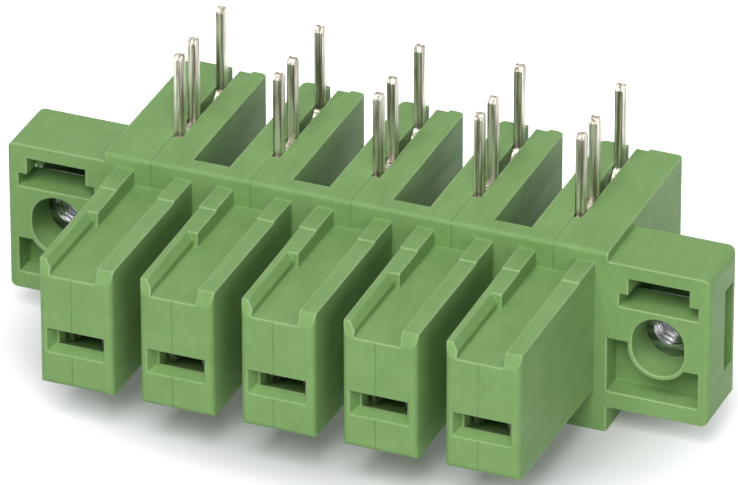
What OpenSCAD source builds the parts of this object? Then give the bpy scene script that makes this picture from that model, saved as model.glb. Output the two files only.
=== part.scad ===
// Pluggable board connector: the board-side header of a pluggable terminal block.
// One moulded housing carries a row of socket towers between two screw flanges.
// Each pole holds a stamped contact with three solder pins and a steel over-spring,
// and each flange holds a square nut for the mating plug's screw.
//
// Frame: X along the row, -Y towards the mating plug, +Z along the solder pins,
// z = 0 under the plate. The origin is under the middle of the part's box.
// Inside the modules y = 0 is the front face of the plate; seated() places the result.

/* [Row] */
// Number of poles
poles = 5; // [2:1:8]
// Distance from one pole to the next
pitch = 7.62; // [7:0.01:9]

/* [Towers] */
// Width of a socket tower where it meets the plate
tower_w = 5.75; // [5.4:0.05:6]
// Length that a tower stands in front of the plate
tower_l = 14; // [13.2:0.1:18]
// Underside of a tower above the rest plane, at the plate
tower_z = 3.3; // [2.4:0.1:3.6]
// Top of a tower's rails above the rest plane, at the plate
tower_top = 13.35; // [13:0.05:14]
// Draft of a tower's faces, in degrees
tower_draft = 0.4; // [0:0.1:0.8]
// Rounding of a tower's upright front edges
tower_edge_r = 0.5; // [0.2:0.05:0.7]
// Width of the guide channel between the two rails
channel_w = 3.1; // [2.8:0.05:3.4]
// Floor of the guide channel above the rest plane
channel_z = 12.2; // [11.6:0.1:12.4]
// Set-back of the rails' bevelled front ends
rail_bevel = 0.45; // [0.3:0.05:1.2]
// Length of the relief in the left rail, from the tower's face
relief_l = 7.6; // [4:0.1:9]
// Width that the relief takes off the left rail
relief_w = 0.35; // [0.2:0.05:0.45]
// Width of the bevel along the relief's upper edge
relief_bevel_w = 0.5; // [0.1:0.05:0.55]
// Depth of that bevel below the rail's top
relief_bevel_d = 0.7; // [0.1:0.05:0.75]
// Length of the rails' raised rear ends, in front of the plate
rail_pad_l = 3.1; // [1:0.1:5]
// Height of the raised rear ends above the rails
rail_pad_h = 0.1; // [0.05:0.01:0.2]

/* [Socket mouths] */
// Width of a mouth at the tower's face
mouth_w = 4.4; // [4:0.05:4.6]
// Height of a mouth at the tower's face
mouth_h = 1.9; // [1.7:0.05:2.3]
// Centre of the mouths above the rest plane
socket_z = 7; // [6.6:0.05:7.3]
// Lead-in bevel at the sides of a mouth
mouth_side_bevel = 0.35; // [0.15:0.05:0.4]
// Lead-in bevel above and below a mouth
mouth_floor_bevel = 0.3; // [0.1:0.05:0.4]
// Thickness of a tower's front wall, which the lead-in runs through
mouth_depth = 1; // [0.6:0.05:1.3]

/* [Plate] */
// Thickness of the plate that joins the poles
plate_t = 1.4; // [0.9:0.05:2]
// Height of the plate and of the chambers behind it
plate_h = 14.4; // [14:0.05:15.5]
// Rounding of the plate's top front edge
plate_edge_r = 0.35; // [0.1:0.05:0.5]

/* [Chambers] */
// Width of an inner chamber
chamber_w = 4.8; // [4.5:0.05:5.2]
// Depth of a chamber behind the plate's front face
chamber_l = 15; // [14.5:0.1:18]
// Rounding of a chamber's upright rear edges
chamber_edge_r = 0.45; // [0.2:0.05:0.8]

/* [Contact pockets] */
// Clearance between an over-spring and the walls of its pocket
pocket_gap = 0.05; // [0.02:0.01:0.1]
// Clearance above an over-spring
pocket_top_gap = 0.1; // [0.05:0.01:0.3]
// Clearance between a contact's pin plate and each wall of its slot
slot_gap = 0.05; // [0.02:0.01:0.15]
// Width of the notch beside a slot's rear end
notch_w = 0.9; // [0.5:0.05:1]
// Depth of that notch, down and forward
notch_d = 0.3; // [0.1:0.05:0.6]

/* [Contacts] */
// Thickness of the contact strip
strip_t = 0.6; // [0.4:0.05:0.7]
// Thickness of the coined spring legs
leg_t = 0.4; // [0.25:0.05:0.5]
// Outer width of a contact's channel-shaped base
base_w = 2.9; // [2.6:0.05:3]
// Height of the base's walls and of the legs above its web
leg_h = 2; // [1.8:0.05:2.2]
// Free gap between the two legs where they grip
grip_gap = 0.8; // [0.4:0.05:1.2]
// Free gap between the legs' flared front ends
flare_gap = 2.2; // [1.8:0.05:2.3]
// Distance from the tower's face back to the tips of the legs
tip_depth = 2.1; // [1.8:0.1:3]
// Length of the flared front ends
flare_l = 2.1; // [1.6:0.1:2.6]
// Length over which the legs close in
close_l = 3.9; // [3:0.1:4.5]
// Length of the channel-shaped base
base_l = 6; // [4:0.1:6.5]
// Bend radius of the legs, at the middle of the strip
bend_r = 0.9; // [0.5:0.05:1.2]

/* [Solder pins] */
// Width of a pin along the row of pins
pin_w = 0.8; // [0.6:0.05:1]
// Length of the pins above the chambers
pin_l = 6.3; // [3.5:0.1:8]
// First pin behind the plate's front face
pin_y = 4.7; // [4.5:0.05:5.2]
// First pin to second pin
pin_step_1 = 2.54; // [2.3:0.01:3]
// Second pin to third pin
pin_step_2 = 5.08; // [4.6:0.01:5.6]
// Length of the chamfer at a pin's tip
pin_tip = 0.35; // [0.1:0.05:0.6]
// Shoulders of the pin plate below the chambers' tops
shoulder_z = 0.25; // [0.1:0.05:0.6]
// Pin plate beyond the outer sides of the first and the last pin
shoulder_w = 0.4; // [0.2:0.05:0.6]
// Radius of the round cut-out between the second and the third pin
cutout_r = 1.5; // [1:0.05:1.6]
// Reach of the sloped shoulders beyond that cut-out, towards the pins
shoulder_slope = 0.55; // [0.2:0.05:0.55]

/* [Over-springs] */
// Thickness of the steel strip
spring_t = 0.2; // [0.15:0.01:0.25]
// Length of the saddle that clips over the contact's base
saddle_l = 4; // [2:0.1:4.5]
// Height of the arms below the saddle
arm_h = 1.6; // [1:0.05:1.8]
// Distance from the grip back to the ends of the arms
arm_short = 0.9; // [0.6:0.1:2]

/* [Screw flanges] */
// Width of a flange
flange_w = 7.62; // [7.4:0.01:9]
// Depth of a flange behind the plate's front face
flange_l = 5.5; // [5.4:0.1:7]
// Underside of a flange above the rest plane
flange_z = 2; // [1.4:0.1:2.4]
// Top of a flange above the rest plane
flange_top = 13.7; // [13.5:0.1:14.2]
// Rounding of a flange's outline corners
flange_corner_r = 0.6; // [0.2:0.05:0.9]
// Rounding of a flange's upright outer edge at the front
flange_front_r = 0.4; // [0.1:0.05:0.6]
// Rounding of a flange's upright outer edge at the rear
flange_rear_r = 0.7; // [0.1:0.05:0.9]
// Width of the oval screw hole
screw_d = 3.9; // [3.2:0.05:4.3]
// Height of the oval hole beyond its width
screw_play = 0.6; // [0.2:0.05:0.8]
// Screw axis above the rest plane
screw_z = 7.6; // [7.2:0.05:7.7]
// Thickness of the rim left standing around the screw hole
rim_t = 0.3; // [0.2:0.05:0.5]
// Depth of the coring recess below the screw hole
recess_d = 1.85; // [1:0.05:2.4]
// Floor of the coring recess above the flange's underside
recess_sill = 1.3; // [0.8:0.05:1.6]
// Reach of the coring recess beyond the screw's axis, towards the flange's end
recess_reach = 3; // [2.6:0.05:3.2]
// Drop of the recess's upper edge on that side, below the screw's axis
recess_drop = 1.5; // [1:0.05:1.8]
// Width of the T-slot's wide lower part
tee_w = 5.9; // [5.7:0.05:6.2]
// Height that its floor lies below the nut's top
tee_lap = 0.05; // [0:0.01:0.1]
// Width of the T-slot's narrow upper part
tee_neck_w = 4.56; // [4:0.05:5]
// Height of the narrow upper part
tee_neck_h = 1.3; // [0.8:0.05:1.4]

/* [Nuts] */
// Width across the flats of the square nut
nut_s = 5.5; // [5.4:0.05:5.6]
// Thickness of the nut
nut_t = 1.8; // [1.6:0.05:2]
// Diameter of the tapped hole at the crests of its thread
nut_hole_d = 2.5; // [2.4:0.01:2.7]
// Depth of the countersink at each end of the tapped hole
nut_sink = 0.25; // [0.1:0.05:0.4]
// Rounding of the nut's corners
nut_corner_r = 0.4; // [0.1:0.05:0.6]
// Wall of the flange in front of the nut
nut_wall = 3; // [2.8:0.05:3.2]
// Clearance behind the nut in its pocket
nut_gap = 0.1; // [0.05:0.01:0.2]
// Free height of the pocket above the nut
nut_room = 1; // [0.6:0.05:1.1]

/* [Hidden] */
$fn = 48;
BIG = 100;                                   // reach of a cut that leaves the part
HAIR = 0.01;                                 // overlap that keeps joined cuts open to each other
ARC_STEPS = 6;                               // flats in a rounded outline corner

row_w = poles * pitch;                       // plate from end to end
screw_x = row_w / 2 + flange_w / 2;          // screw axis of the right flange
front_y = -tower_l;                          // face of the towers
middle_y = (chamber_l - tower_l) / 2;        // middle of the part's depth

web_bottom = socket_z - leg_h / 2 - strip_t; // contact's web on the pocket's floor
leg_bottom = web_bottom + strip_t;
leg_top = leg_bottom + leg_h;
pocket_w = base_w + 2 * (spring_t + pocket_gap);
pocket_top = leg_top + spring_t + pocket_top_gap;
pocket_front = front_y + mouth_depth;

tip_y = front_y + tip_depth;                 // front ends of the spring legs
grip_y = tip_y + flare_l;                    // where the legs grip
base_front = grip_y + close_l;
base_rear = base_front + base_l;
leg_x = (base_w - leg_t) / 2;                // middle of a leg beside the base
grip_x = (grip_gap + leg_t) / 2;
flare_x = (flare_gap + leg_t) / 2;

pin_ys = [pin_y, pin_y + pin_step_1, pin_y + pin_step_1 + pin_step_2];
plate_front = pin_ys[0] - pin_w / 2 - shoulder_w;   // pin plate's front edge, against the slot's end
plate_rear = pin_ys[2] + pin_w / 2 + shoulder_w;
shoulder_top = plate_h - shoulder_z;
pin_top = plate_h + pin_l;
slot_w = strip_t + 2 * slot_gap;

nut_bottom = screw_z - nut_s / 2;            // nut on its pocket's floor
nut_top = nut_bottom + nut_s;
pocket_ceiling = nut_top + nut_room;
nut_pocket_rear = nut_wall + nut_t + nut_gap;

housing_colour = [0.45, 0.63, 0.38];
tin_colour = [0.70, 0.68, 0.62];
spring_colour = [0.62, 0.62, 0.64];
nut_colour = [0.74, 0.76, 0.78];

// ---------- outlines ----------

function unit(v) = v / norm(v);

// The points that replace a corner by an arc of radius r; r = 0 keeps it sharp.
function corner_arc(before, at, after, r) =
    r <= 0 ? [at] :
    let (
        u = unit(before - at),
        w = unit(after - at),
        half = acos(u * w) / 2,
        centre = at + unit(u + w) * r / sin(half),
        from = at + u * r / tan(half) - centre,
        to = at + w * r / tan(half) - centre,
        start = atan2(from.y, from.x),
        turn = (atan2(to.y, to.x) - start + 540) % 360 - 180
    )
    [for (k = [0:ARC_STEPS]) let (a = start + turn * k / ARC_STEPS) centre + r * [cos(a), sin(a)]];

// A closed outline with its corners rounded, each by its own radius.
function rounded(points, radii) = let (n = len(points))
    [for (i = [0:n - 1])
        each corner_arc(points[(i + n - 1) % n], points[i], points[(i + 1) % n], radii[i])];

// An open path with its inner corners rounded to r.
function bent(path, r) = let (n = len(path))
    [for (i = [0:n - 1])
        each corner_arc(path[max(i - 1, 0)], path[i], path[min(i + 1, n - 1)], i == 0 || i == n - 1 ? 0 : r)];

function left_of(v) = [-v.y, v.x];

// The mitred direction across a path at point i.
function across(path, i) = let (
        n = len(path),
        u = unit(path[max(i, 1)] - path[max(i, 1) - 1]),
        w = unit(path[min(i + 1, n - 1)] - path[min(i, n - 2)]),
        m = unit(left_of(u) + left_of(w))
    )
    m / (m * left_of(u));

// A strip of sheet seen on edge: from distance d0 to distance d1 left of its path.
function strip(path, d0, d1) = concat(
    [for (i = [0:len(path) - 1]) path[i] + across(path, i) * d0],
    [for (i = [len(path) - 1:-1:0]) path[i] + across(path, i) * d1]
);

// ---------- placing ----------

function pole_x(i) = (i - (poles + 1) / 2) * pitch;

module seated() translate([0, -middle_y, 0]) children();

module at_pole(i) seated() translate([pole_x(i), 0, 0]) children();

module at_each_pole() for (i = [1:poles]) translate([pole_x(i), 0, 0]) children();

// Right and left flange, the left one mirrored.
module on_both_flanges() for (side = [0, 1]) mirror([side, 0, 0]) translate([screw_x, 0, 0]) children();

// Solids from outlines drawn in plan (x, y), from the front (x, z) and from the side (y, z).
module plan(z0, z1) translate([0, 0, z0]) linear_extrude(z1 - z0) children();

module front(y0, y1) translate([0, y1, 0]) rotate([90, 0, 0]) linear_extrude(y1 - y0) children();

module side(x0, x1) translate([x0, 0, 0]) rotate([90, 0, 90]) linear_extrude(x1 - x0) children();

// ---------- housing ----------

function draft(length) = length * tan(tower_draft);

// Seen from above: narrower towards the face, with rounded upright edges.
module tower_plan() {
    rear_x = tower_w / 2;
    front_x = rear_x - draft(tower_l);
    polygon(rounded(
        [[-rear_x, plate_t], [-rear_x, 0], [-front_x, front_y], [front_x, front_y], [rear_x, 0], [rear_x, plate_t]],
        [0, 0, tower_edge_r, tower_edge_r, 0, 0]
    ));
}

// Seen from the side: drafted above and below, with the rails' front ends bevelled
// and their rear ends raised.
module tower_side() {
    top_front = tower_top - draft(tower_l);
    bottom_front = tower_z + draft(tower_l);
    pad_top = tower_top + rail_pad_h;
    polygon(rounded(
        [
            [plate_t, tower_z], [0, tower_z], [front_y, bottom_front],
            [front_y, channel_z], [front_y + rail_bevel, top_front],
            [-rail_pad_l, tower_top - draft(rail_pad_l)], [-rail_pad_l, pad_top], [plate_t, pad_top]
        ],
        [0, 0, tower_edge_r, 0, 0, 0, 0, 0]
    ));
}

// Seen from the front: the channel with its relief, whose upper edge is bevelled.
module relief_front() {
    left_x = -channel_w / 2 - relief_w;
    bevel_bottom = tower_top - relief_bevel_d;
    reach = (plate_h - bevel_bottom) * relief_bevel_w / relief_bevel_d;
    polygon([
        [left_x, channel_z], [channel_w / 2, channel_z], [channel_w / 2, plate_h],
        [left_x - reach, plate_h], [left_x, bevel_bottom]
    ]);
}

module tower_body() {
    difference() {
        intersection() {
            plan(0, plate_h) tower_plan();
            side(-tower_w / 2, tower_w / 2) tower_side();
        }
        translate([-channel_w / 2, front_y - 1, channel_z]) cube([channel_w, tower_l + 1, plate_h]);
        front(front_y - 1, front_y + relief_l) relief_front();
    }
}

// The funnel through a tower's front wall: two wedges that meet as a frustum.
module mouth() {
    outer_x = mouth_w / 2;
    inner_x = outer_x - mouth_side_bevel;
    intersection() {
        plan(0, plate_h) polygon([
            [-outer_x, front_y], [outer_x, front_y], [inner_x, pocket_front], [inner_x, pocket_front + HAIR],
            [-inner_x, pocket_front + HAIR], [-inner_x, pocket_front]
        ]);
        side(-outer_x, outer_x) polygon([
            [front_y, socket_z - mouth_h / 2], [front_y, socket_z + mouth_h / 2],
            [pocket_front, socket_z + mouth_h / 2 - mouth_floor_bevel],
            [pocket_front + HAIR, socket_z + mouth_h / 2 - mouth_floor_bevel],
            [pocket_front + HAIR, socket_z - mouth_h / 2 + mouth_floor_bevel],
            [pocket_front, socket_z - mouth_h / 2 + mouth_floor_bevel]
        ]);
    }
}

// The room for a contact, loaded from the rear: pocket, pin slot and rear notch.
module contact_room() {
    translate([-pocket_w / 2, pocket_front, web_bottom])
        cube([pocket_w, BIG, pocket_top - web_bottom]);
    translate([-slot_w / 2, plate_front, web_bottom]) cube([slot_w, BIG, BIG]);
    translate([0, chamber_l - notch_d, plate_h - notch_d]) cube([slot_w / 2 + notch_w, BIG, BIG]);
}

module joining_plate() {
    side(-row_w / 2, row_w / 2) polygon(rounded(
        [[0, 0], [plate_t, 0], [plate_t, plate_h], [0, plate_h]],
        [0, 0, 0, plate_edge_r]
    ));
}

// A chamber from x0 to x1; the end chambers reach out to the flanges.
module chamber(x0, x1) {
    plan(0, plate_h) polygon(rounded(
        [[x0, plate_t - HAIR], [x1, plate_t - HAIR], [x1, chamber_l], [x0, chamber_l]],
        [0, 0, chamber_edge_r, chamber_edge_r]
    ));
}

module chambers() {
    for (i = [1:poles]) {
        x0 = i == 1 ? -row_w / 2 : pole_x(i) - chamber_w / 2;
        x1 = i == poles ? row_w / 2 : pole_x(i) + chamber_w / 2;
        chamber(x0, x1);
    }
}

// A right-hand flange about its screw axis.
module flange_block() {
    inner = -flange_w / 2 - HAIR;
    outer = flange_w / 2;
    intersection() {
        plan(0, plate_h) polygon(rounded(
            [[inner, 0], [outer, 0], [outer, flange_l], [inner, flange_l]],
            [0, flange_front_r, flange_rear_r, 0]
        ));
        front(0, flange_l) polygon(rounded(
            [[inner, flange_z], [outer, flange_z], [outer, flange_top], [inner, flange_top]],
            [0, flange_corner_r, flange_corner_r, 0]
        ));
    }
}

// The oval of the screw hole, wider all round by rim, as two circles and the square between them.
module screw_oval(rim = 0) {
    r = screw_d / 2 + rim;
    translate([0, screw_z]) {
        for (side = [-1, 1]) translate([0, side * screw_play / 2]) circle(r);
        translate([-r, -screw_play / 2]) square([2 * r, screw_play]);
    }
}

// Coring below the screw hole; the rim around the hole is left standing.
module coring_recess() {
    front(-1, recess_d) difference() {
        polygon([
            [-flange_w / 2, flange_z + recess_sill], [recess_reach, flange_z + recess_sill],
            [recess_reach, screw_z - recess_drop], [0, screw_z - recess_drop],
            [0, screw_z], [-flange_w / 2, screw_z]
        ]);
        screw_oval(rim_t);
    }
}

// The T-slot looks in on the nut's upper edge: its wide part is as high as the pocket.
module tee_slot() {
    floor_z = nut_top - tee_lap;
    front(-1, nut_pocket_rear) {
        translate([-tee_w / 2, floor_z]) square([tee_w, pocket_ceiling - floor_z]);
        translate([-tee_neck_w / 2, floor_z]) square([tee_neck_w, pocket_ceiling + tee_neck_h - floor_z]);
    }
}

// Open to the flange's end, where the nut slides in.
module nut_pocket() {
    translate([-nut_s / 2, nut_wall, nut_bottom])
        cube([BIG, nut_t + nut_gap, pocket_ceiling - nut_bottom]);
}

module flange_cuts() {
    front(-1, flange_l + 1) screw_oval();
    coring_recess();
    tee_slot();
    nut_pocket();
}

module housing() {
    color(housing_colour) seated() difference() {
        union() {
            joining_plate();
            chambers();
            at_each_pole() tower_body();
            on_both_flanges() flange_block();
        }
        at_each_pole() {
            mouth();
            contact_room();
        }
        on_both_flanges() flange_cuts();
    }
}

// ---------- contacts ----------

// The round cut-out with the sloped shoulders beside it, about the circle's centre.
module pin_plate_cutout() {
    circle(cutout_r);
    polygon([
        [-cutout_r - shoulder_slope, 0], [cutout_r + shoulder_slope, 0],
        cutout_r * [cos(30), -sin(30)], cutout_r * [-cos(30), -sin(30)]
    ]);
}

// Seen from the side: the plate in its slot, three chamfered pins and the cut-out.
module pin_plate_side() {
    tip = min(pin_w / 4, pin_tip);
    difference() {
        translate([plate_front, leg_bottom]) square([plate_rear - plate_front, shoulder_top - leg_bottom]);
        translate([(pin_ys[1] + pin_ys[2]) / 2, shoulder_top]) pin_plate_cutout();
    }
    for (y = pin_ys) translate([y, 0]) polygon([
        [-pin_w / 2, leg_bottom], [pin_w / 2, leg_bottom], [pin_w / 2, pin_top - pin_tip],
        [pin_w / 2 - tip, pin_top], [-pin_w / 2 + tip, pin_top], [-pin_w / 2, pin_top - pin_tip]
    ]);
}

// Middle line of the right leg in plan, from the base to the flared tip.
leg_path = bent(
    [[leg_x, base_front + bend_r], [leg_x, base_front - bend_r], [grip_x, grip_y], [flare_x, tip_y]],
    bend_r
);

module leg_plan() polygon(strip(leg_path, -leg_t / 2, leg_t / 2));

// The strip steps sideways from the pin plate to the base's left wall.
joggle_path = bent(
    [
        [0, pin_ys[0]], [0, base_rear + (plate_front - base_rear) * 0.6],
        [(strip_t - base_w) / 2, base_rear + (plate_front - base_rear) * 0.1],
        [(strip_t - base_w) / 2, base_rear - strip_t]
    ],
    strip_t
);

// Seen from the front: web below, a wall on each side, bends rounded outside.
module base_front_view() {
    difference() {
        polygon(rounded(
            [
                [-base_w / 2, web_bottom], [base_w / 2, web_bottom],
                [base_w / 2, leg_top], [-base_w / 2, leg_top]
            ],
            [strip_t, strip_t, 0, 0]
        ));
        translate([-base_w / 2 + strip_t, leg_bottom]) square([base_w - 2 * strip_t, BIG]);
    }
}

module contact(i) {
    color(tin_colour) at_pole(i) {
        side(-strip_t / 2, strip_t / 2) pin_plate_side();
        plan(leg_bottom, leg_top) {
            polygon(strip(joggle_path, -strip_t / 2, strip_t / 2));
            leg_plan();
            mirror([1, 0, 0]) leg_plan();
        }
        front(base_front, base_rear) base_front_view();
    }
}

// ---------- over-springs ----------

// The arms lie against the outer faces of the legs and stop short of the flare.
arm_path = bent(
    [
        [leg_x, base_front + saddle_l], [leg_x, base_front - bend_r],
        [grip_x, grip_y] + unit([leg_x - grip_x, base_front - bend_r - grip_y]) * arm_short
    ],
    bend_r
);

module contact_spring(i) {
    color(spring_colour) at_pole(i) {
        for (m = [0, 1]) mirror([m, 0, 0])
            plan(leg_top - arm_h, leg_top + spring_t)
                polygon(strip(arm_path, leg_t / 2, leg_t / 2 + spring_t));
        translate([-base_w / 2 - spring_t, base_front, leg_top])
            cube([base_w + 2 * spring_t, saddle_l, spring_t]);
    }
}

// ---------- nuts ----------

module square_nut() {
    hole_r = nut_hole_d / 2;
    difference() {
        front(nut_wall, nut_wall + nut_t) translate([-nut_s / 2, nut_bottom]) polygon(rounded(
            [[0, 0], [nut_s, 0], [nut_s, nut_s], [0, nut_s]],
            [for (k = [1:4]) nut_corner_r]
        ));
        translate([0, nut_wall, screw_z]) rotate([-90, 0, 0]) {
            translate([0, 0, -1]) cylinder(r = hole_r, h = nut_t + 2);
            translate([0, 0, -HAIR]) cylinder(r1 = hole_r + nut_sink + HAIR, r2 = hole_r, h = nut_sink + HAIR);
            translate([0, 0, nut_t - nut_sink])
                cylinder(r1 = hole_r, r2 = hole_r + nut_sink + HAIR, h = nut_sink + HAIR);
        }
    }
}

module nut_left() color(nut_colour) seated() translate([-screw_x, 0, 0]) square_nut();

module nut_right() color(nut_colour) seated() translate([screw_x, 0, 0]) square_nut();

housing();
for (i = [1:poles]) contact(i);
for (i = [1:poles]) contact_spring(i);
nut_left();
nut_right();
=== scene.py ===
"""Finishes the board-side header of a pluggable terminal block: plastic, tin, steel, light and camera."""

import math

import bmesh
import bpy
from mathutils import Matrix, Vector


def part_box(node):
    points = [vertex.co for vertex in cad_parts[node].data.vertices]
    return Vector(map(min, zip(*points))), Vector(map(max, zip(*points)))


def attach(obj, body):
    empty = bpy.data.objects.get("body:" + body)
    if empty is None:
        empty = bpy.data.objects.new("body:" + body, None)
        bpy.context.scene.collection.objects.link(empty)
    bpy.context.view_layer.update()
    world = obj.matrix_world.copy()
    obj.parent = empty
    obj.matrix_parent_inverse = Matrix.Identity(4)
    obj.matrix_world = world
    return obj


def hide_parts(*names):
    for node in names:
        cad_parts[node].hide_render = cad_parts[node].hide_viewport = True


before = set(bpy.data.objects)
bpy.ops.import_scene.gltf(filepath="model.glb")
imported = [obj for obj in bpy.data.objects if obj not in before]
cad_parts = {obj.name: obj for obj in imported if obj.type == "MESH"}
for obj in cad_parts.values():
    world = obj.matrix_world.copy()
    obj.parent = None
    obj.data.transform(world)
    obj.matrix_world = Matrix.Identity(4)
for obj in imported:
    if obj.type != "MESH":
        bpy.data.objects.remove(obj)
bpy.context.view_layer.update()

bl_info = {
    "name": "Terminal header finish",
    "version": (1, 0, 0),
    "blender": (4, 5, 0),
    "location": "3D Viewport > Sidebar > Terminal header",
    "description": "Dresses the moulded housing, the contacts and the nuts of a terminal block header",
    "category": "Object",
}

MM = 0.001
# A drawn streak is this many times as long as it is wide.
STREAK_RATIO = 30
METAL_EDGE_RADIUS = 0.08 * MM
# The witness lines over the plate run above this height and in front of this depth.
PLATE_TOP_Z = 14.3 * MM
FIRST_PIN_Y = 4.2 * MM
POLES = 5
# Every lamp stands this far from the part.
LAMP_DISTANCE = 0.6
FLOOR_HALF_WIDTH = 3.0
# The floor lies this far under the part, so that the two don't share a plane.
FLOOR_DROP = 0.02 * MM


def linear(hex_colour):
    """An sRGB colour such as "#86A86C" as linear RGBA."""
    parts = [int(hex_colour[i : i + 2], 16) / 255 for i in (1, 3, 5)]
    return tuple(c / 12.92 if c <= 0.04045 else ((c + 0.055) / 1.055) ** 2.4 for c in parts) + (1.0,)


# ---------- sizes and colours that a user would change ----------


class HousingFinish(bpy.types.PropertyGroup):
    plastic: bpy.props.FloatVectorProperty(
        name="Plastic", description="Colour of the moulded polyamide", subtype="COLOR", size=4,
        min=0, max=1, default=linear("#81A666"),
    )
    plastic_dark: bpy.props.FloatVectorProperty(
        name="Flow streaks", description="Darker tone of the faint flow streaks and clouds", subtype="COLOR",
        size=4, min=0, max=1, default=linear("#6F9553"),
    )
    # A painted highlight: this paler colour goes on the outer edges, where light would catch their rounding.
    painted_edge_highlight: bpy.props.FloatVectorProperty(
        name="Edges", description="Paler tone of the rubbed edges", subtype="COLOR", size=4, min=0, max=1,
        default=linear("#C8E2AE"),
    )
    witness: bpy.props.FloatVectorProperty(
        name="Witness line", description="Tone of the mould's thin witness lines", subtype="COLOR", size=4,
        min=0, max=1, default=linear("#4E6E42"),
    )
    witness_w: bpy.props.FloatProperty(
        name="Witness line width", description="Width of the mould's witness lines", default=0.1 * MM,
        min=0.02 * MM, max=0.5 * MM, unit="LENGTH", precision=5,
    )
    witness_shift: bpy.props.FloatProperty(
        name="Witness line shift", description="How far each line lies left of its pole's middle",
        default=0.27 * MM, unit="LENGTH", precision=5,
    )
    pole_pitch: bpy.props.FloatProperty(
        name="Pole pitch", description="Distance from pole to pole", default=7.62 * MM, min=3 * MM,
        max=12 * MM, unit="LENGTH", precision=5,
    )
    edge_radius: bpy.props.FloatProperty(
        name="Edge radius", description="Softness of the moulded edges", default=0.2 * MM, min=0.0,
        max=0.5 * MM, unit="LENGTH", precision=5,
    )
    grain: bpy.props.FloatProperty(
        name="Grain", description="Width of the eroded mould's grain", default=0.16 * MM, min=0.02 * MM,
        max=1 * MM, unit="LENGTH", precision=5,
    )
    roughness: bpy.props.FloatProperty(
        name="Roughness", description="Roughness of the satin plastic", default=0.5, min=0, max=1,
        subtype="FACTOR",
    )


class MetalFinish(bpy.types.PropertyGroup):
    tin: bpy.props.FloatVectorProperty(
        name="Tin", description="Colour of the bright tin plating", subtype="COLOR", size=4, min=0, max=1,
        default=linear("#E8E4D8"),
    )
    tin_dull: bpy.props.FloatVectorProperty(
        name="Dull tin", description="Colour of the drawn streaks in the plating", subtype="COLOR", size=4,
        min=0, max=1, default=linear("#857E6D"),
    )
    zinc: bpy.props.FloatVectorProperty(
        name="Zinc", description="Colour of the zinc-plated nuts", subtype="COLOR", size=4, min=0, max=1,
        default=linear("#B6B8BA"),
    )
    # This colour also goes on every edge of the nuts, which drawn_metal makes darker.
    zinc_dull: bpy.props.FloatVectorProperty(
        name="Dull zinc", description="Colour of the plating's streaks and sheared edges", subtype="COLOR",
        size=4, min=0, max=1, default=linear("#707274"),
    )
    spring_steel: bpy.props.FloatVectorProperty(
        name="Spring steel", description="Colour of the stainless over-springs", subtype="COLOR", size=4,
        min=0, max=1, default=linear("#A9A9AB"),
    )


class NutThread(bpy.types.PropertyGroup):
    pitch: bpy.props.FloatProperty(
        name="Pitch", description="Pitch of the M3 thread", default=0.5 * MM, min=0.2 * MM, max=1 * MM,
        unit="LENGTH", precision=5,
    )
    major: bpy.props.FloatProperty(
        name="Major diameter", description="Diameter at the roots of the nut's thread", default=3 * MM,
        min=2 * MM, max=4 * MM, unit="LENGTH", precision=5,
    )
    crest: bpy.props.FloatProperty(
        name="Crest diameter", description="Diameter at the crests of the nut's thread", default=2.5 * MM,
        min=1.5 * MM, max=3.8 * MM, unit="LENGTH", precision=5,
    )
    steps: bpy.props.IntProperty(
        name="Steps", description="Faces in one turn of the thread", default=64, min=16, max=128,
    )


class StageLook(bpy.types.PropertyGroup):
    floor: bpy.props.FloatVectorProperty(
        name="Floor", description="Colour of the pale floor", subtype="COLOR", size=4, min=0, max=1,
        default=(0.6, 0.6, 0.6, 1.0),
    )
    # floor_glow is the glow inside the oval of painted shadow round the part; further out the glow rises to
    # 1.
    floor_glow: bpy.props.FloatProperty(
        name="Floor glow", description="White added to the floor where the camera sees it", default=0.1,
        min=0, max=1,
    )
    room_colour: bpy.props.FloatVectorProperty(
        name="Room colour", description="Cool tone of the light that comes from all round", subtype="COLOR",
        size=4, min=0, max=2, default=(0.84, 0.98, 1.16, 1.0),
    )
    room_level: bpy.props.FloatProperty(
        name="Room", description="Light that comes from all round", default=0.2, min=0, max=2,
    )
    front_level: bpy.props.FloatProperty(
        name="Front", description="Light of the large lamp high in front", default=0.94, min=0, max=4,
    )
    side_level: bpy.props.FloatProperty(
        name="Side", description="Light of the low lamp on the right", default=0.21, min=0, max=4,
    )
    back_level: bpy.props.FloatProperty(
        name="Back", description="Light of the low fill behind", default=0.3, min=0, max=4,
    )
    azimuth: bpy.props.FloatProperty(
        name="Azimuth", description="Direction of the camera, from the front towards +X",
        default=math.radians(22.32), subtype="ANGLE",
    )
    elevation: bpy.props.FloatProperty(
        name="Elevation", description="Height of the camera above the horizon",
        default=math.radians(29.62), subtype="ANGLE",
    )
    roll: bpy.props.FloatProperty(
        name="Roll", description="Turn of the picture about its middle", default=math.radians(-0.083),
        subtype="ANGLE",
    )
    distance: bpy.props.FloatProperty(
        name="Distance", description="Distance from the camera to the point it looks at", default=0.645,
        min=0.1, unit="LENGTH",
    )
    width_seen: bpy.props.FloatProperty(
        name="Width seen", description="Width of the picture at that point", default=51.96 * MM,
        min=10 * MM, unit="LENGTH", precision=5,
    )
    aim: bpy.props.FloatVectorProperty(
        name="Aim", description="The point that the camera looks at, before the two shifts",
        default=(0.0, -0.5 * MM, 7.0 * MM), subtype="TRANSLATION", precision=5,
    )
    aim_right: bpy.props.FloatProperty(
        name="Aim right", description="Shift of that point to the picture's right", default=1.061 * MM,
        unit="LENGTH", precision=5,
    )
    aim_up: bpy.props.FloatProperty(
        name="Aim up", description="Shift of that point up the picture", default=3.613 * MM,
        unit="LENGTH", precision=5,
    )


# ---------- materials ----------


def new_material(name):
    """An empty node material of that name, made afresh."""
    old = bpy.data.materials.get(name)
    if old:
        bpy.data.materials.remove(old)
    material = bpy.data.materials.new(name)
    material.use_nodes = True
    material.node_tree.nodes.clear()
    return material


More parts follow.
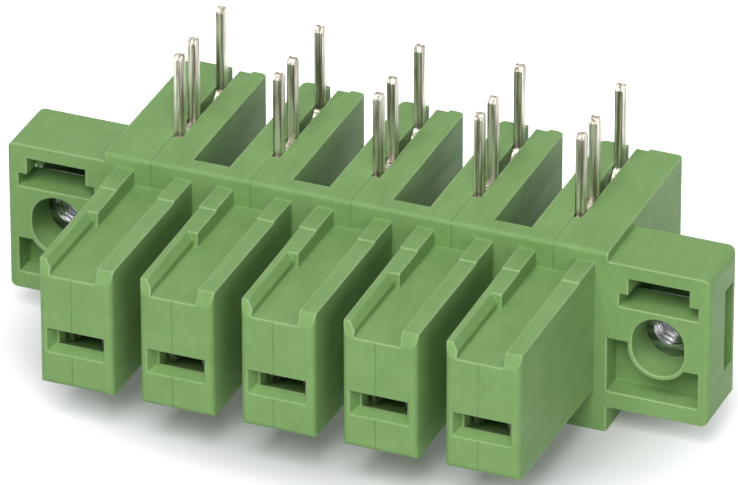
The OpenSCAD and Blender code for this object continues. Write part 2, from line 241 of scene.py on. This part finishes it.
def add_node(tree, kind, inputs=None, **settings):
    """Adds one node. An input takes a value, or a link where it is given an output socket."""
    node = tree.nodes.new(kind)
    for key, value in settings.items():
        setattr(node, key, value)
    for key, value in (inputs or {}).items():
        if isinstance(value, bpy.types.NodeSocket):
            tree.links.new(value, node.inputs[key])
        else:
            node.inputs[key].default_value = value
    return node


def witness_line(tree, place, normal, look):
    """Where the mould's witness line runs: a thin line between two inserts of the mould, up the front of
    each pole and over the top of the plate to the first pin."""

    def calc(operation, first, second=0.0):
        return add_node(tree, "ShaderNodeMath", {0: first, 1: second}, operation=operation).outputs["Value"]

    spot = add_node(tree, "ShaderNodeSeparateXYZ", {"Vector": place})
    facing = add_node(tree, "ShaderNodeSeparateXYZ", {"Vector": normal})
    away = calc("PINGPONG", calc("ADD", spot.outputs["X"], look.witness_shift), look.pole_pitch / 2)
    line = add_node(
        tree, "ShaderNodeMapRange",
        {"Value": away, "From Min": look.witness_w / 2, "From Max": look.witness_w / 5, "To Min": 0.0,
         "To Max": 0.55},
    )
    in_row = calc("LESS_THAN", calc("ABSOLUTE", spot.outputs["X"]), POLES / 2 * look.pole_pitch)
    front = calc("LESS_THAN", facing.outputs["Y"], -0.9)
    top = calc(
        "MULTIPLY", calc("GREATER_THAN", spot.outputs["Z"], PLATE_TOP_Z),
        calc("LESS_THAN", spot.outputs["Y"], FIRST_PIN_Y),
    )
    return calc("MULTIPLY", calc("MULTIPLY", line.outputs["Result"], in_row), calc("MAXIMUM", front, top))


def moulded_polyamide(look):
    """Green polyamide, injection moulded in a spark-eroded mould: satin, finely grained, with faint flow
    streaks along the towers and a painted highlight: a paler colour on the rounded outer edges."""
    material = new_material("moulded_polyamide")
    tree = material.node_tree
    place = add_node(tree, "ShaderNodeTexCoord").outputs["Object"]
    # Flow streaks: 0.5 mm wide and about ten times as long, lengthwise as the melt ran.
    along = add_node(
        tree, "ShaderNodeMapping", {"Vector": place, "Scale": (1 / (0.5 * MM), 1 / (5 * MM), 1 / (0.9 * MM))}
    )
    streaks = add_node(
        tree, "ShaderNodeTexNoise",
        {"Vector": along.outputs["Vector"], "Scale": 1.0, "Detail": 3.0, "Roughness": 0.6},
    )
    # Clouds of about 2.5 mm, as pigment in a light moulding shows.
    clouds = add_node(
        tree, "ShaderNodeTexNoise", {"Vector": place, "Scale": 1 / (2.5 * MM), "Detail": 2.0}
    )
    blend = add_node(
        tree, "ShaderNodeMix",
        {"Factor": 0.5, "A": streaks.outputs["Fac"], "B": clouds.outputs["Fac"]},
        data_type="FLOAT",
    )
    spread = add_node(
        tree, "ShaderNodeMapRange",
        {"Value": blend.outputs["Result"], "From Min": 0.35, "From Max": 0.65, "To Min": 0.0, "To Max": 0.55},
    )
    body = add_node(
        tree, "ShaderNodeMix",
        {"Factor": spread.outputs["Result"], "A": look.plastic, "B": look.plastic_dark}, data_type="RGBA",
    )
    # Edges turn over edge_radius. Outer edges, where little plastic lies behind the surface, get a paler
    # colour: a painted highlight.
    rounded = add_node(tree, "ShaderNodeBevel", {"Radius": look.edge_radius}, samples=8)
    true_normal = add_node(tree, "ShaderNodeNewGeometry").outputs["Normal"]
    depth = add_node(
        tree, "ShaderNodeAmbientOcclusion", {"Distance": look.edge_radius}, inside=True, samples=8
    )
    highlit = add_node(
        tree, "ShaderNodeMapRange",
        {"Value": depth.outputs["AO"], "From Min": 0.9, "From Max": 0.4, "To Min": 0.0, "To Max": 0.5},
    )
    colour = add_node(
        tree, "ShaderNodeMix",
        {"Factor": highlit.outputs["Result"], "A": body.outputs["Result"], "B": look.painted_edge_highlight},
        data_type="RGBA",
    )
    lined = add_node(
        tree, "ShaderNodeMix",
        {"Factor": witness_line(tree, place, true_normal, look), "A": colour.outputs["Result"],
         "B": look.witness}, data_type="RGBA",
    )
    grain = add_node(
        tree, "ShaderNodeTexNoise", {"Vector": place, "Scale": 1 / look.grain, "Detail": 2.0}
    )
    bump = add_node(
        tree, "ShaderNodeBump",
        {"Height": grain.outputs["Fac"], "Strength": 0.12, "Distance": 0.03 * MM,
         "Normal": rounded.outputs["Normal"]},
    )
    rough = add_node(
        tree, "ShaderNodeMapRange",
        {"Value": streaks.outputs["Fac"], "From Min": 0.3, "From Max": 0.7,
         "To Min": look.roughness - 0.05, "To Max": look.roughness + 0.05},
    )
    plastic = add_node(
        tree, "ShaderNodeBsdfPrincipled",
        {"Base Color": lined.outputs["Result"], "Roughness": rough.outputs["Result"], "IOR": 1.53,
         "Specular IOR Level": 0.16, "Normal": bump.outputs["Normal"]},
    )
    add_node(tree, "ShaderNodeOutputMaterial", {"Surface": plastic.outputs["BSDF"]})
    return material


def drawn_metal(name, bright, dull, streak_axis, streak_mm, roughness):
    """Plated or plain metal strip, rolled and drawn: fine streaks run along streak_axis, darker where the
    surface is dull, over a bright mirror that blurs with roughness. Every edge is made darker too, within
    METAL_EDGE_RADIUS of it."""
    material = new_material(name)
    tree = material.node_tree
    place = add_node(tree, "ShaderNodeTexCoord").outputs["Object"]
    # Streaks as wide as streak_mm, and much longer along streak_axis.
    scale = [1 / (streak_mm * MM)] * 3
    scale[streak_axis] = 1 / (STREAK_RATIO * streak_mm * MM)
    along = add_node(tree, "ShaderNodeMapping", {"Vector": place, "Scale": scale})
    streaks = add_node(
        tree, "ShaderNodeTexNoise",
        {"Vector": along.outputs["Vector"], "Scale": 1.0, "Detail": 3.0, "Roughness": 0.6},
    )
    ramp = add_node(
        tree, "ShaderNodeMapRange",
        {"Value": streaks.outputs["Fac"], "From Min": 0.42, "From Max": 0.58},
    )
    # The colour is darker towards every edge: the shine fades there.
    rounded = add_node(tree, "ShaderNodeBevel", {"Radius": METAL_EDGE_RADIUS}, samples=8)
    true_normal = add_node(tree, "ShaderNodeNewGeometry").outputs["Normal"]
    turned = add_node(
        tree, "ShaderNodeVectorMath", {0: rounded.outputs["Normal"], 1: true_normal}, operation="DOT_PRODUCT"
    )
    away_from_edges = add_node(
        tree, "ShaderNodeMapRange",
        {"Value": turned.outputs["Value"], "From Min": 0.8, "From Max": 0.97, "To Min": 0.2, "To Max": 1.0},
    )
    shine = add_node(
        tree, "ShaderNodeMath", {0: ramp.outputs["Result"], 1: away_from_edges.outputs["Result"]}, operation="MULTIPLY"
    )
    colour = add_node(
        tree, "ShaderNodeMix", {"Factor": shine.outputs["Value"], "A": dull, "B": bright}, data_type="RGBA"
    )
    bump = add_node(
        tree, "ShaderNodeBump",
        {"Height": streaks.outputs["Fac"], "Strength": 0.2, "Distance": 0.01 * MM,
         "Normal": rounded.outputs["Normal"]},
    )
    metal = add_node(
        tree, "ShaderNodeBsdfPrincipled",
        {"Base Color": colour.outputs["Result"], "Metallic": 1.0, "Roughness": roughness,
         "Normal": bump.outputs["Normal"]},
    )
    add_node(tree, "ShaderNodeOutputMaterial", {"Surface": metal.outputs["BSDF"]})
    return material


def seen_directly(tree):
    """1 where the camera or a reflection looks, 0 for the light that falls on the part."""
    rays = add_node(tree, "ShaderNodeLightPath")
    either = add_node(
        tree, "ShaderNodeMath", {0: rays.outputs["Is Camera Ray"], 1: rays.outputs["Is Glossy Ray"]},
        operation="MAXIMUM",
    )
    return either.outputs["Value"]


def pale_floor(look):
    """A matt pale floor. Where the camera or a reflection sees it, a white glow lifts it to white. The glow
    is weak in an oval round the part, which paints a soft shadow there and keeps the part's cast shadow;
    further out it is full."""
    material = new_material("pale_floor")
    tree = material.node_tree
    place = add_node(tree, "ShaderNodeTexCoord").outputs["Object"]
    # Half the size of the oval of painted shadow, along X and along Y.
    centred = add_node(
        tree, "ShaderNodeMapping", {"Vector": place, "Scale": (1 / (37 * MM), 1 / (23 * MM), 1.0)}
    )
    far = add_node(tree, "ShaderNodeVectorMath", {0: centred.outputs["Vector"]}, operation="LENGTH")
    glow_over_painted_shadow = add_node(
        tree, "ShaderNodeMapRange",
        {"Value": far.outputs["Value"], "From Min": 0.5, "From Max": 0.98, "To Min": look.floor_glow,
         "To Max": 1.0},
        interpolation_type="SMOOTHSTEP",
    )
    seen = seen_directly(tree)
    glow_level = add_node(
        tree, "ShaderNodeMath", {0: seen, 1: glow_over_painted_shadow.outputs["Result"]}, operation="MULTIPLY"
    )
    matt = add_node(tree, "ShaderNodeBsdfDiffuse", {"Color": look.floor})
    glow = add_node(tree, "ShaderNodeEmission", {"Strength": glow_level.outputs["Value"]})
    both = add_node(tree, "ShaderNodeAddShader", {0: matt.outputs["BSDF"], 1: glow.outputs["Emission"]})
    add_node(tree, "ShaderNodeOutputMaterial", {"Surface": both.outputs["Shader"]})
    return material


# ---------- helpers ----------


def finish_node(name, material):
    """Gives a CAD node its material in every slot."""
    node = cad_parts[name]
    if not node.material_slots:
        node.data.materials.append(material)
    for material_slot in node.material_slots:
        material_slot.material = material


def nodes_named(prefix):
    return sorted(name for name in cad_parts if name.startswith(prefix))


def add_piece(name, mesh_builder, material):
    """Makes a piece's object from a bmesh, at the origin, with its material."""
    mesh = bpy.data.meshes.new(name)
    mesh_builder.to_mesh(mesh)
    mesh_builder.free()
    mesh.materials.append(material)
    piece = bpy.data.objects.new(name, mesh)
    bpy.context.scene.collection.objects.link(piece)
    return piece


# ---------- pieces ----------


class HEADER_OT_finish_housing(bpy.types.Operator):
    """Gives the moulded housing its satin green polyamide"""

    bl_idname = "header.finish_housing"
    bl_label = "Finish the housing"

    def execute(self, context):
        finish_node("housing", moulded_polyamide(context.scene.housing_finish))
        return {"FINISHED"}


class HEADER_OT_finish_contacts(bpy.types.Operator):
    """Gives the contacts their drawn tin plating"""

    bl_idname = "header.finish_contacts"
    bl_label = "Finish the contacts"

    def execute(self, context):
        look = context.scene.metal_finish
        tin = drawn_metal("tin_plated_copper_alloy", look.tin, look.tin_dull, 2, 0.22, 0.38)
        for name in nodes_named("contact_"):
            if not name.startswith("contact_spring_"):
                finish_node(name, tin)
        return {"FINISHED"}


class HEADER_OT_finish_springs(bpy.types.Operator):
    """Gives the over-springs their rolled stainless steel"""

    bl_idname = "header.finish_springs"
    bl_label = "Finish the over-springs"

    def execute(self, context):
        look = context.scene.metal_finish
        dull = tuple(0.7 * c for c in look.spring_steel[:3]) + (1.0,)
        steel = drawn_metal("rolled_stainless_steel", look.spring_steel, dull, 1, 0.12, 0.35)
        for name in nodes_named("contact_spring_"):
            finish_node(name, steel)
        return {"FINISHED"}


def threaded_nut(node, thread):
    """A copy of the CAD nut whose bore is opened to the thread's roots, with the thread's ridge wound
    inside it and cut flush with both faces."""
    low, high = (Vector(corner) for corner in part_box(node.name))
    middle = (low + high) / 2
    root_r, crest_r = thread.major / 2, thread.crest / 2
    nut = bmesh.new()
    nut.from_mesh(node.data)
    bmesh.ops.remove_doubles(nut, verts=nut.verts, dist=0.001 * MM)
    for vert in nut.verts:
        off_axis = Vector((vert.co.x - middle.x, 0, vert.co.z - middle.z))
        if off_axis.length < root_r:
            vert.co += off_axis.normalized() * (root_r - off_axis.length)
    ridge = bmesh.new()
    half = thread.pitch / 2
    flat = thread.pitch / 8
    start = low.y - thread.pitch
    outline = [
        (root_r + 0.03 * MM, -half), (root_r, -half + flat / 2), (crest_r, -flat), (crest_r, flat),
        (root_r, half - flat / 2), (root_r + 0.03 * MM, half),
    ]
    verts = [ridge.verts.new((middle.x + r, start + y, middle.z)) for r, y in outline]
    edges = [ridge.edges.new((verts[i], verts[(i + 1) % len(verts)])) for i in range(len(verts))]
    turns = math.ceil((high.y - low.y) / thread.pitch) + 2
    bmesh.ops.spin(
        ridge, geom=verts + edges, cent=(middle.x, start, middle.z), axis=(0, 1, 0),
        dvec=(0, thread.pitch / thread.steps, 0), angle=math.tau * turns, steps=thread.steps * turns,
        use_merge=False,
    )
    for level, side in ((low.y, -1), (high.y, 1)):
        whole = ridge.verts[:] + ridge.edges[:] + ridge.faces[:]
        cut = bmesh.ops.bisect_plane(
            ridge, geom=whole, plane_co=(0, level, 0), plane_no=(0, side, 0), clear_outer=True
        )
        rim = [part for part in cut["geom_cut"] if isinstance(part, bmesh.types.BMEdge)]
        bmesh.ops.holes_fill(ridge, edges=rim)
    bmesh.ops.recalc_face_normals(ridge, faces=ridge.faces)
    wound = bpy.data.meshes.new("ridge")
    ridge.to_mesh(wound)
    ridge.free()
    nut.from_mesh(wound)
    bpy.data.meshes.remove(wound)
    return nut


class HEADER_OT_thread_nuts(bpy.types.Operator):
    """Cuts the M3 thread in the two square nuts and gives them their zinc plating"""

    bl_idname = "header.thread_nuts"
    bl_label = "Thread the nuts"

    def execute(self, context):
        look = context.scene.metal_finish
        zinc = drawn_metal("zinc_plated_steel", look.zinc, look.zinc_dull, 0, 0.8, 0.1)
        for name in nodes_named("nut_"):
            piece = add_piece(
                name.replace("nut", "threaded_nut"),
                threaded_nut(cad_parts[name], context.scene.nut_thread),
                zinc,
            )
            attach(piece, "root")
            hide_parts(name)
        return {"FINISHED"}


# ---------- stage ----------


def direction(azimuth, elevation):
    """Unit vector from the part towards that direction. Azimuth turns from the front towards +X."""
    level = math.cos(elevation)
    return Vector((math.sin(azimuth) * level, -math.cos(azimuth) * level, math.sin(elevation)))


def picture_axes(look):
    """Unit vectors out of the picture towards the camera, to its right and up, the last two rolled."""
    back = direction(look.azimuth, look.elevation)
    right = Vector((math.cos(look.azimuth), math.sin(look.azimuth), 0))
    turn = Matrix.Rotation(look.roll, 3, back)
    return back, turn @ right, turn @ back.cross(right)


def add_camera(look):
    back, right, up = picture_axes(look)
    data = bpy.data.cameras.new("camera")
    data.sensor_width = 36.0
    data.lens = data.sensor_width * look.distance / look.width_seen
    data.clip_end = 10
    camera = bpy.data.objects.new("camera", data)
    aim = Vector(look.aim) + right * look.aim_right + up * look.aim_up
    camera.matrix_world = Matrix.Translation(aim + back * look.distance) @ Matrix((
        (right.x, up.x, back.x), (right.y, up.y, back.y), (right.z, up.z, back.z),
    )).to_4x4()
    bpy.context.scene.collection.objects.link(camera)
    bpy.context.scene.camera = camera


def add_lamp(name, azimuth, elevation, size, level):
    """A square lamp that points at the part, its angles in degrees. At level 1 a white face turned to it
    renders white."""
    back = direction(math.radians(azimuth), math.radians(elevation))
    data = bpy.data.lights.new(name, "AREA")
    data.size = size
    data.energy = level * math.pi**2 * LAMP_DISTANCE**2
    lamp = bpy.data.objects.new(name, data)
    lamp.rotation_mode = "QUATERNION"
    lamp.rotation_quaternion = back.to_track_quat("Z", "Y")
    lamp.location = back * LAMP_DISTANCE
    bpy.context.scene.collection.objects.link(lamp)
    return lamp


def add_floor(look):
    mesh = bmesh.new()
    bmesh.ops.create_grid(mesh, x_segments=1, y_segments=1, size=FLOOR_HALF_WIDTH)
    floor = add_piece("floor", mesh, pale_floor(look))
    floor.location.z = -FLOOR_DROP


def light_room(look):
    """The world: a cool, dim room. The camera and the reflections see it white, as a light tent."""
    world = bpy.data.worlds.new("room")
    world.use_nodes = True
    tree = world.node_tree
    tree.nodes.clear()
    direction = add_node(tree, "ShaderNodeTexCoord").outputs["Generated"]
    height = add_node(tree, "ShaderNodeSeparateXYZ", {"Vector": direction}).outputs["Z"]
    shade = add_node(
        tree, "ShaderNodeMapRange",
        {"Value": height, "From Min": 0.0, "From Max": 0.9, "To Min": 1.0, "To Max": 0.6},
    )
    level = add_node(
        tree, "ShaderNodeMath", {0: shade.outputs["Result"], 1: look.room_level}, operation="MULTIPLY"
    )
    seen = seen_directly(tree)
    strength = add_node(
        tree, "ShaderNodeMix", {"Factor": seen, "A": level.outputs["Value"], "B": 1.0},
        data_type="FLOAT",
    )
    tint = add_node(
        tree, "ShaderNodeMix",
        {"Factor": seen, "A": look.room_colour, "B": (1.0, 1.0, 1.0, 1.0)}, data_type="RGBA",
    )
    light = add_node(
        tree, "ShaderNodeBackground",
        {"Color": tint.outputs["Result"], "Strength": strength.outputs["Result"]},
    )
    add_node(tree, "ShaderNodeOutputWorld", {"Surface": light.outputs["Background"]})
    bpy.context.scene.world = world


class HEADER_OT_set_stage(bpy.types.Operator):
    """Sets the pale floor, the soft studio light and the camera"""

    bl_idname = "header.set_stage"
    bl_label = "Set the stage"

    def execute(self, context):
        look = context.scene.stage_look
        add_floor(look)
        light_room(look)
        add_lamp("front_lamp", 8, 51, 0.35, look.front_level)
        add_lamp("side_lamp", 52, 20, 0.3, look.side_level)
        # The fill behind gives no gloss, so that it doesn't veil the tops.
        add_lamp("back_fill", 192, 20, 0.4, look.back_level).visible_glossy = False
        add_camera(look)
        context.scene.view_settings.view_transform = "Standard"
        return {"FINISHED"}


class HEADER_PT_sidebar(bpy.types.Panel):
    """Lists the steps and their settings"""

    bl_label = "Terminal header"
    bl_idname = "HEADER_PT_sidebar"
    bl_space_type = "VIEW_3D"
    bl_region_type = "UI"
    bl_category = "Terminal header"

    def draw(self, context):
        layout = self.layout
        for operator in OPERATORS:
            layout.operator(operator.bl_idname)
        for group in GROUPS:
            box = layout.box()
            for key in GROUPS[group].__annotations__:
                box.prop(getattr(context.scene, group), key)


GROUPS = {
    "housing_finish": HousingFinish,
    "metal_finish": MetalFinish,
    "nut_thread": NutThread,
    "stage_look": StageLook,
}
OPERATORS = (
    HEADER_OT_finish_housing,
    HEADER_OT_finish_contacts,
    HEADER_OT_finish_springs,
    HEADER_OT_thread_nuts,
    HEADER_OT_set_stage,
)


def register():
    for name, group in GROUPS.items():
        bpy.utils.register_class(group)
        setattr(bpy.types.Scene, name, bpy.props.PointerProperty(type=group))
    for operator in OPERATORS:
        bpy.utils.register_class(operator)
    bpy.utils.register_class(HEADER_PT_sidebar)


def unregister():
    bpy.utils.unregister_class(HEADER_PT_sidebar)
    for operator in reversed(OPERATORS):
        bpy.utils.unregister_class(operator)
    for name, group in reversed(list(GROUPS.items())):
        delattr(bpy.types.Scene, name)
        bpy.utils.unregister_class(group)


def main():
    register()
    bpy.ops.header.finish_housing()
    bpy.ops.header.finish_contacts()
    bpy.ops.header.finish_springs()
    bpy.ops.header.thread_nuts()
    bpy.ops.header.set_stage()


if __name__ == "__main__":
    main()
